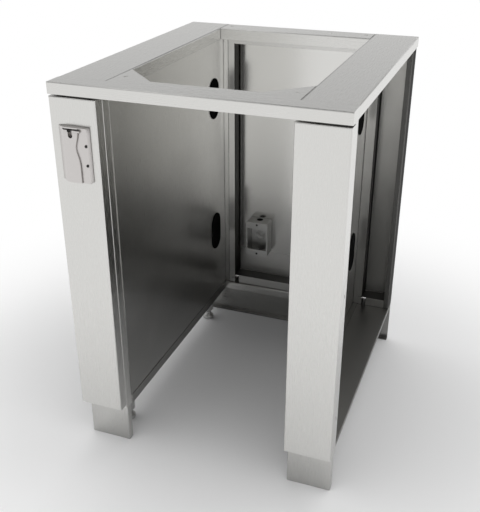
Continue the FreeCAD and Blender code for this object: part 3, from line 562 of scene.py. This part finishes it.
def lathe(profile, x, y, steps):  # turns a profile of radius and height round an upright axis
    piece = drawChain([(x + radius, y, height) for radius, height in profile])
    bpy.ops.mesh.select_all(action="SELECT")
    bpy.ops.mesh.spin(steps=steps, angle=2 * math.pi, center=(x, y, 0), axis=(0, 0, 1))
    bpy.ops.mesh.select_all(action="SELECT")
    bpy.ops.mesh.remove_doubles(threshold=touching)
    faceOutward()
    bpy.ops.object.mode_set(mode="OBJECT")
    return piece


def turnTo(outward):  # from upright to the way a round piece faces
    return upright.rotation_difference(outward).to_euler()


def finishPiece(piece, name, material, slot, body, *replaced, angle=32):
    takeUp(piece)
    bpy.ops.object.shade_smooth_by_angle(angle=math.radians(angle))
    piece.name = name
    piece.data.name = name
    piece.data.materials.clear()
    piece.data.materials.append(material)
    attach(piece, body)
    if replaced:
        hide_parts(*replaced)


# Black plugs in the utility cut-outs
plug = {"sides": 50, "sheet": 1.2 * mm, "neck": 3.2 * mm, "rim": 5 * mm, "slope": 1.2 * mm, "dish": 0.7 * mm,
        "soft": 0.6 * mm, "flank": 0.5, "faceShare": 0.45}


def makePlug(node):
    low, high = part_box(node)
    centre, size = (low + high) / 2, high - low
    piece = addDrum(size.y / 2, size.x, centre, towardsSide, plug["sides"])
    edit(piece)
    drawApart(piece, centre.z, (size.z - size.y) / 2)
    for side in (-1, 1):
        cutAcross((centre.x + side * plug["sheet"] / 2, 0, 0), (1, 0, 0))
    pick(piece, "FACE", lambda f: abs(f.calc_center_median().x - centre.x) < plug["sheet"] / 2
         and abs(f.normal.x) < plug["flank"])
    bpy.ops.mesh.extrude_region_shrink_fatten(TRANSFORM_OT_shrink_fatten={"value": -plug["neck"]})
    pick(piece, "FACE", lambda f: abs(f.normal.x) > squareOn
         and abs(f.calc_center_median().x - centre.x) > plug["faceShare"] * size.x)
    bpy.ops.mesh.inset(thickness=plug["rim"])
    bpy.ops.mesh.inset(thickness=plug["slope"], depth=-plug["dish"])
    bpy.ops.object.mode_set(mode="OBJECT")
    chamfer(piece, plug["soft"])
    return piece


firstPlug = makePlug("utility_plug_left_lower")
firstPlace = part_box("utility_plug_left_lower")[0]
for hand in ("left", "right"):
    for level in ("lower", "upper"):
        node = f"utility_plug_{hand}_{level}"
        copy = copyTo(firstPlug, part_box(node)[0] - firstPlace)
        finishPiece(copy, f"plug_{hand}_{level}", plugRubber, "plug_rubber", "carcass", node)
bpy.data.objects.remove(firstPlug)
print("plugs made")


# Screws with a hexagon socket, two to a group
screw = {"cadRadius": 4.2 * mm, "headRadius": 4.2 * mm, "smallHead": 2.9 * mm, "headHeight": 2.0 * mm,
         "headSides": 32, "rimShare": 0.8, "dome": 0.8 * mm, "domeSteps": 4, "socketShare": 0.55,
         "socketDepth": 1.8 * mm, "shankRadius": 2.5 * mm, "shankSides": 24, "overlap": 0.05 * mm,
         "tipShare": 0.3}


def makeScrew(seat, outward, length, radius):  # seat is under the head, outward the way the head faces
    turn = turnTo(outward)
    top = seat + outward * screw["headHeight"]
    middle = seat + outward * screw["headHeight"] / 2
    head = addDrum(radius, screw["headHeight"], middle, turn, screw["headSides"])
    edit(head)
    reach = radius * screw["rimShare"]
    pick(head, "EDGE", lambda e: all((v.co - top).length > reach and abs((v.co - top).dot(outward)) < near
                                     for v in e.verts))
    bpy.ops.mesh.bevel(offset=screw["dome"], segments=screw["domeSteps"])
    bpy.ops.object.mode_set(mode="OBJECT")
    carve(head, addDrum(radius * screw["socketShare"], 2 * screw["socketDepth"], top, turn, hexagon))
    middle = seat - outward * (length / 2 - screw["overlap"])
    shank = addDrum(screw["shankRadius"], length, middle, turn, screw["shankSides"])
    edit(shank)
    pick(shank, "FACE", lambda f: f.normal.dot(outward) < -squareOn)
    tip = screw["shankRadius"] * screw["tipShare"]
    bpy.ops.mesh.inset(thickness=tip, depth=tip)
    bpy.ops.object.mode_set(mode="OBJECT")
    carve(head, shank, "UNION")
    return head


def makeScrewPair(node, outward, name, radius, material):
    low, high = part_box(node)
    middle = (low + high) / 2
    axis = max(range(3), key=lambda i: abs(outward[i]))
    face = high[axis] if outward[axis] > 0 else low[axis]
    length = (high - low)[axis] - screw["headHeight"]
    pair = []
    for height in (low.z + screw["cadRadius"], high.z - screw["cadRadius"]):
        seat = Vector((middle.x, middle.y, height))
        seat[axis] = face - outward[axis] * screw["headHeight"]
        pair.append(makeScrew(seat, Vector(outward), length, radius))
    finishPiece(joinPieces(pair), name, material, "screw_steel", "carcass", node)


makeScrewPair("opener_screws", (0, -1, 0), "opener_screw_pair", screw["smallHead"], darkScrewSteel)
makeScrewPair("outlet_screws", (0, -1, 0), "outlet_screw_pair", screw["smallHead"], darkScrewSteel)
makeScrewPair("joining_screws_left", (-1, 0, 0), "joining_screw_pair_left", screw["headRadius"], screwSteel)
makeScrewPair("joining_screws_right", (1, 0, 0), "joining_screw_pair_right", screw["headRadius"], screwSteel)
print("screws made")


# Knockouts of the outlet box: black caps above and below, a ringed disc at the back
knockout = {"radius": 9.35 * mm, "thickness": 2.4 * mm, "setback": 28 * mm, "recess": 0.6 * mm, "sides": 48,
            "backRadius": 13.85 * mm, "ring": 2.0 * mm, "groove": 0.9 * mm, "soft": 0.25 * mm}
boxLow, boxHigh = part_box("outlet_box")
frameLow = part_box("outlet_frame")[0]


def makeKnockout(radius, centre, outward, rings):
    disc = addDrum(radius, knockout["thickness"], centre, turnTo(outward), knockout["sides"])
    edit(disc)
    pick(disc, "FACE", lambda f: abs(f.normal.dot(outward)) > squareOn)
    for ring in range(rings):  # each ring is a land and a groove
        bpy.ops.mesh.inset(thickness=knockout["ring"])
        bpy.ops.mesh.inset(thickness=knockout["groove"], depth=-knockout["groove"])
        bpy.ops.mesh.inset(thickness=knockout["groove"])
        bpy.ops.mesh.inset(thickness=knockout["groove"], depth=knockout["groove"])
    bpy.ops.object.mode_set(mode="OBJECT")
    chamfer(disc, knockout["soft"], steps=2, angle=40)
    return disc


def makeKnockouts():
    across = (boxLow.x + boxHigh.x) / 2
    depth = frameLow.y + knockout["setback"]
    half = knockout["thickness"] / 2
    lower = Vector((across, depth, boxLow.z + knockout["recess"] + half))
    upper = Vector((across, depth, boxHigh.z - knockout["recess"] - half))
    caps = [makeKnockout(knockout["radius"], lower, -upright, 1),
            makeKnockout(knockout["radius"], upper, upright, 1)]
    finishPiece(joinPieces(caps), "knockout_caps", knockoutBlack, "knockout_black", "carcass",
                "outlet_knockouts")
    behind = Vector((across, boxHigh.y - half, (boxLow.z + boxHigh.z) / 2))
    disc = makeKnockout(knockout["backRadius"], behind, Vector((0, -1, 0)), 2)
    finishPiece(disc, "knockout_back_disc", boxAlloy, "box_alloy", "carcass")


makeKnockouts()
print("outlet box made")


# Levelling feet
foot = {"padRadius": 16 * mm, "padRim": 10 * mm, "padHeight": 16 * mm, "padEdge": 1.2 * mm,
        "rimDrop": 1.4 * mm, "bossRadius": 9.5 * mm, "bossEdge": 0.8 * mm, "neckWidth": 1.5 * mm,
        "neckLow": 0.6 * mm, "neckHigh": 2 * mm, "seatRadius": 4.3 * mm, "seatFloor": 6.5 * mm,
        "seatEdge": 0.4 * mm, "padSteps": 48, "spigotRadius": 4 * mm, "spigotEdge": 0.5 * mm,
        "gap": 0.3 * mm, "hexRadius": 9 * mm, "hexHeight": 6 * mm, "core": 4.2 * mm, "coreSink": 1 * mm,
        "tipTaper": 1 * mm, "shaftSteps": 32,
        "crest": 5 * mm, "crestFrom": 0.45, "crestTo": 0.55, "threadSink": 0.1 * mm, "pitch": 1.5 * mm,
        "threadSteps": 24, "nutRadius": 9.8 * mm, "nutBore": 5.3 * mm, "boreSides": 32, "soft": 0.5 * mm}


def makePad(x, y):
    radius, boss, seat = foot["padRadius"], foot["bossRadius"], foot["seatRadius"]
    rim, height, edge = foot["padRim"], foot["padHeight"], foot["padEdge"]
    profile = [(0, 0), (radius - edge, 0), (radius, edge), (radius, rim - foot["rimDrop"]),
               (radius - edge, rim), (boss + foot["neckWidth"], rim + foot["neckLow"]),
               (boss, rim + foot["neckHigh"]), (boss, height - foot["bossEdge"]),
               (boss - foot["bossEdge"], height),
               (seat + foot["seatEdge"], height), (seat, height - foot["seatEdge"]),
               (seat, foot["seatFloor"]), (0, foot["seatFloor"])]
    return lathe(profile, x, y, foot["padSteps"])


def makeThread(core, turns):
    pitch = foot["pitch"]
    root = core - foot["threadSink"]
    thread = drawChain([(root, 0, 0), (foot["crest"], 0, foot["crestFrom"] * pitch),
                        (foot["crest"], 0, foot["crestTo"] * pitch), (root, 0, pitch)])
    bpy.ops.object.mode_set(mode="OBJECT")
    bake(thread, "SCREW", axis="Z", angle=2 * math.pi, screw_offset=pitch, iterations=turns,
         steps=foot["threadSteps"], render_steps=foot["threadSteps"], use_merge_vertices=True,
         merge_threshold=touching)
    edit(thread)
    faceOutward()
    bpy.ops.object.mode_set(mode="OBJECT")
    return thread


def makeStud(x, y, top):
    height = foot["padHeight"] + foot["hexHeight"]
    spigot, core, edge = foot["spigotRadius"], foot["core"], foot["spigotEdge"]
    start = foot["seatFloor"] + foot["gap"]
    tip = top - foot["pitch"]
    shoulder = height - foot["coreSink"]
    shaft = lathe([(0, start), (spigot - edge, start), (spigot, start + edge), (spigot, shoulder),
                   (core, shoulder), (core, tip), (core - foot["tipTaper"], top), (0, top)],
                  x, y, foot["shaftSteps"])
    middle = foot["padHeight"] + foot["hexHeight"] / 2
    flats = addDrum(foot["hexRadius"], foot["hexHeight"], (x, y, middle), sides=hexagon)
    chamfer(flats, foot["soft"], steps=2)
    carve(shaft, flats, "UNION")
    thread = makeThread(core, int((tip - height) / foot["pitch"]))
    thread.location = (x, y, height)
    return joinPieces([shaft, settle(thread)])


def makeNut(x, y, low, high):
    nut = addDrum(foot["nutRadius"], high - low, (x, y, (low + high) / 2), sides=hexagon)
    chamfer(nut, foot["soft"], steps=2)
    carve(nut, addDrum(foot["nutBore"], 2 * (high - low), (x, y, (low + high) / 2), sides=foot["boreSides"]))
    return nut


def makeFeet():
    nutLow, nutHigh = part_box("foot_lock_nuts")
    nuts = []
    for name in feet:
        low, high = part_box(f"foot_pad_{name}")
        x, y = (low.x + high.x) / 2, (low.y + high.y) / 2
        finishPiece(makePad(x, y), f"pad_{name}", footSteel, "foot_steel", f"pad_{name}", f"foot_pad_{name}")
        stud = makeStud(x, y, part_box(f"foot_stud_{name}")[1].z)
        finishPiece(stud, f"stud_{name}", footSteel, "foot_steel", f"stud_{name}", f"foot_stud_{name}")
        nuts.append(makeNut(x, y, nutLow.z, nutHigh.z))
    finishPiece(joinPieces(nuts), "lock_nuts", footSteel, "foot_steel", "carcass", "foot_lock_nuts")


makeFeet()
print("feet made")


# Bottle opener: a cast body with a winding ridge, a mouth, and a bar across it
opener = {"edge": 1.5 * mm, "flank": 13.5 * mm, "panel": 10.3 * mm, "crest": 30 * mm, "crown": 11.5 * mm,
          "ridge": 46.4 * mm, "ridgeDepth": 10.4 * mm, "ridgeBase": 47 * mm, "ridgeGroove": 7 * mm,
          "ridgeFoot": 49.4 * mm, "plate": 8 * mm, "turnDown": 4 * mm, "rise": 3.5 * mm, "sag": 3 * mm,
          "hood": 10 * mm, "arch": 2.2 * mm, "columns": (7 * mm, 21 * mm, 38 * mm, 60 * mm),
          "waist": 6.8 * mm, "waistHeight": 70 * mm, "waistSpan": 19.5 * mm, "levels": 30,
          "slack": 0.5 * mm, "soft": 0.45 * mm,
          "mouthSide": 25 * mm, "mouthWidth": 10 * mm, "mouthTop": 4.5 * mm, "mouthHeight": 19.5 * mm,
          "mouthDepth": 9 * mm, "mouthSides": 34, "grooveTop": 4.6 * mm, "grooveHeight": 2.6 * mm,
          "grooveDepth": 4 * mm, "toolOver": 2 * mm, "holeRadius": 2.8 * mm, "holeSides": 32,
          "barLift": 2.5 * mm, "barHeight": 3.4 * mm, "barBack": 1.5 * mm, "barSoft": 0.4 * mm,
          "notchDepth": 5 * mm}


def ridgeShift(height):  # how far the ridge winds to the left at a height
    return -opener["waist"] * math.exp(-((height - opener["waistHeight"]) / opener["waistSpan"]) ** 2)


def makeMouth(low, high):
    centre = Vector((low.x + opener["mouthSide"] + opener["mouthWidth"] / 2, low.y + opener["mouthDepth"] / 2,
                     high.z - opener["mouthTop"] - opener["mouthHeight"] / 2))
    depth = opener["mouthDepth"] + opener["toolOver"]
    mouth = addDrum(opener["mouthWidth"] / 2, depth, centre, towardsFront, opener["mouthSides"])
    edit(mouth)
    drawApart(mouth, centre.z, (opener["mouthHeight"] - opener["mouthWidth"]) / 2)
    bpy.ops.object.mode_set(mode="OBJECT")
    return mouth


def makeCasting(low, high):
    width, tall = high.x - low.x, high.z - low.z
    underHood = tall - opener["hood"]

    def across(v):
        return v.co.x - low.x

    def depth(v):
        return high.y - v.co.y

    def inHood(v):
        return v.co.z - low.z > underHood + near

    def onTop(v):
        return v.co.z > high.z - near

    plan = [(0, 0), (0, opener["edge"]), (opener["flank"], opener["panel"]),
            (opener["crest"], opener["crown"]), (opener["ridge"], opener["ridgeDepth"]),
            (opener["ridgeBase"], opener["ridgeGroove"]), (opener["ridgeFoot"], opener["plate"]),
            (width - opener["turnDown"], opener["plate"]), (width, opener["edge"]), (width, 0)]
    piece = drawChain([(low.x + side, high.y - out, low.z) for side, out in plan])
    bpy.ops.mesh.select_all(action="SELECT")
    bpy.ops.mesh.edge_face_add()
    bpy.ops.mesh.extrude_region_move(TRANSFORM_OT_translate={"value": (0, 0, tall)})
    levels = [underHood * i / opener["levels"] for i in range(1, opener["levels"])]
    for level in levels + [underHood]:
        cutAcross((0, 0, low.z + level), (0, 0, 1))
    for column in opener["columns"]:
        cutAcross((low.x + column, 0, 0), (1, 0, 0))
    for level in levels:  # the ridge and its groove wind
        pick(piece, "VERT", lambda v: abs(v.co.z - low.z - level) < near
             and -opener["slack"] < across(v) - opener["ridge"] < 2 * opener["slack"])
        bpy.ops.transform.translate(value=(ridgeShift(level), 0, 0))
    # in the hood the plate and the groove come forward
    pick(piece, "VERT", lambda v: inHood(v) and across(v) > opener["ridgeFoot"] - opener["slack"]
         and depth(v) > opener["plate"] - near)
    bpy.ops.transform.translate(value=(0, opener["plate"] - opener["ridgeDepth"], 0))
    pick(piece, "VERT", lambda v: inHood(v) and abs(across(v) - opener["ridgeBase"]) < near
         and depth(v) > near)
    bpy.ops.transform.translate(value=(0, opener["ridgeGroove"] - opener["ridgeDepth"], 0))
    # the lower end hangs and the front of the hood falls
    pick(piece, "VERT", lambda v: v.co.z < low.z + near and depth(v) > opener["ridgeGroove"] - near)
    bpy.ops.transform.translate(value=(0, 0, -opener["sag"]))
    pick(piece, "VERT", lambda v: onTop(v) and depth(v) > near)
    bpy.ops.transform.translate(value=(0, 0, -opener["arch"]))
    for column in (0, *opener["columns"], width):  # the back of the hood is an arch
        side = 2 * column / width - 1
        pick(piece, "VERT", lambda v: onTop(v) and abs(across(v) - column) < near)
        bpy.ops.transform.translate(value=(0, 0, -opener["arch"] * side ** 2))
    faceOutward()
    bpy.ops.object.mode_set(mode="OBJECT")
    return piece


def makeOpener():
    low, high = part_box("opener_body")
    high.z += opener["rise"]  # the arch of the hood stands over the plate
    piece = makeCasting(low, high)
    carve(piece, makeMouth(low, high))
    grooveHigh = high.z - opener["grooveTop"]
    grooveLow = grooveHigh - opener["grooveHeight"]
    carve(piece, addBlock((low.x + opener["flank"], low.y - opener["toolOver"], grooveLow),
                          (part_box("opener_bar")[1].x, low.y + opener["grooveDepth"], grooveHigh)))
    screwLow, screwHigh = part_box("opener_screws")
    for height in (screwLow.z + screw["cadRadius"], screwHigh.z - screw["cadRadius"]):
        place = ((screwLow.x + screwHigh.x) / 2, high.y - opener["plate"] / 2, height)
        carve(piece, addDrum(opener["holeRadius"], 2 * opener["plate"], place, towardsFront,
                             opener["holeSides"]))
    chamfer(piece, opener["soft"], steps=3, angle=24)
    finishPiece(piece, "opener_casting", castSteel, "opener_cast", "carcass", "opener_body", angle=25)


def makeOpenerBar():
    low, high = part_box("opener_bar")
    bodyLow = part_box("opener_body")[0]
    mouthLeft = bodyLow.x + opener["mouthSide"]
    mouthRight = mouthLeft + opener["mouthWidth"]
    under = low.z + opener["barLift"]
    back = bodyLow.y + opener["notchDepth"] + opener["barBack"]
    bar = addBlock((low.x, low.y, under), (high.x, back, under + opener["barHeight"]))
    edit(bar)
    for edge in (mouthLeft, mouthRight):
        cutAcross((edge, 0, 0), (1, 0, 0))
    pick(bar, "FACE", lambda f: f.normal.y < -squareOn and mouthLeft < f.calc_center_median().x < mouthRight)
    bpy.ops.mesh.extrude_region_move(TRANSFORM_OT_translate={"value": (0, opener["notchDepth"], 0)})
    bpy.ops.object.mode_set(mode="OBJECT")
    chamfer(bar, opener["barSoft"], steps=2)
    finishPiece(bar, "opener_pry_bar", castSteel, "opener_cast", "carcass", "opener_bar")


makeOpener()
makeOpenerBar()
print("opener made")


# Floor, world and camera
studio = {"floorSize": 60.0, "floorColour": (0.93, 0.93, 0.93), "whiteFrom": 0.55, "whiteTo": 1.3,
          "bands": [(0.0, 1.0), (0.1, 1.0), (0.28, 0.45), (0.68, 0.45), (0.74, 3.0), (0.84, 3.0),
                    (0.88, 0.15), (1.0, 0.1)]}  # height on the world's globe, and light
white = (1, 1, 1, 1)


def makeFloor():
    clearSelection()
    bpy.ops.mesh.primitive_plane_add(size=studio["floorSize"])
    floor = bpy.context.object
    floor.name = "floor"
    material = bpy.data.materials.new("paleFloor")
    material.use_nodes = True
    tree = material.node_tree
    tree.nodes.clear()
    rays = addNode(tree, "ShaderNodeLightPath").outputs
    far = addNode(tree, "ShaderNodeVectorMath", {0: objectPlace(tree)}, operation="LENGTH").outputs["Value"]
    fade = spread(tree, far, 0.0, 1.0, studio["whiteFrom"], studio["whiteTo"],
                  interpolation_type="SMOOTHSTEP")
    seen = calculate(tree, "MAXIMUM", rays["Is Camera Ray"], rays["Is Glossy Ray"])
    seen = calculate(tree, "MAXIMUM", seen, rays["Is Transmission Ray"])
    amount = calculate(tree, "MULTIPLY", fade, seen)
    pale = addNode(tree, "ShaderNodeBsdfDiffuse", {"Color": (*studio["floorColour"], 1)})
    glow = addNode(tree, "ShaderNodeEmission", {"Color": white, "Strength": 1.0})
    mixed = addNode(tree, "ShaderNodeMixShader", {0: amount, 1: pale.outputs[0], 2: glow.outputs[0]})
    output = addNode(tree, "ShaderNodeOutputMaterial")
    tree.links.new(mixed.outputs[0], output.inputs["Surface"])
    floor.data.materials.append(material)


def makeWorld():
    world = bpy.data.worlds.new("studio")
    bpy.context.scene.world = world
    world.use_nodes = True
    tree = world.node_tree
    tree.nodes.clear()
    rays = addNode(tree, "ShaderNodeLightPath").outputs
    globe = addNode(tree, "ShaderNodeTexCoord").outputs["Generated"]
    ramp = addNode(tree, "ShaderNodeValToRGB", {"Fac": split(tree, globe)["Z"]})
    stops = ramp.color_ramp.elements
    while len(stops) < len(studio["bands"]):
        stops.new(1.0)
    for stop, (level, light) in zip(stops, studio["bands"]):
        stop.position = level
        stop.color = (light, light, light, 1)
    bands = ramp.outputs["Color"]
    capped = addNode(tree, "ShaderNodeMix", {0: 1.0, 6: bands, 7: white}, data_type="RGBA",
                     blend_type="DARKEN")
    mirrored = blendColours(tree, rays["Is Glossy Ray"], bands, capped.outputs[2])  # never over white
    shown = blendColours(tree, rays["Is Camera Ray"], mirrored, white[:3])
    light = addNode(tree, "ShaderNodeBackground", {"Color": shown, "Strength": 1.0})
    output = addNode(tree, "ShaderNodeOutputWorld")
    tree.links.new(light.outputs["Background"], output.inputs["Surface"])


lens = {"place": (0.5676, -1.6070, 1.2410), "turn": math.radians(20.464), "tilt": math.radians(63.37),
        "focal": 53.945, "sensor": 36}


def makeCamera():
    camera = bpy.data.cameras.new("camera")
    camera.lens = lens["focal"]
    camera.sensor_width = lens["sensor"]
    holder = bpy.data.objects.new("camera", camera)
    holder.location = lens["place"]
    holder.rotation_euler = (lens["tilt"], 0, lens["turn"])
    bpy.context.scene.collection.objects.link(holder)
    bpy.context.scene.camera = holder


makeFloor()
makeWorld()
makeCamera()
bpy.context.scene.view_settings.view_transform = "Standard"
bpy.context.scene.cycles.caustics_reflective = False
print("studio made")
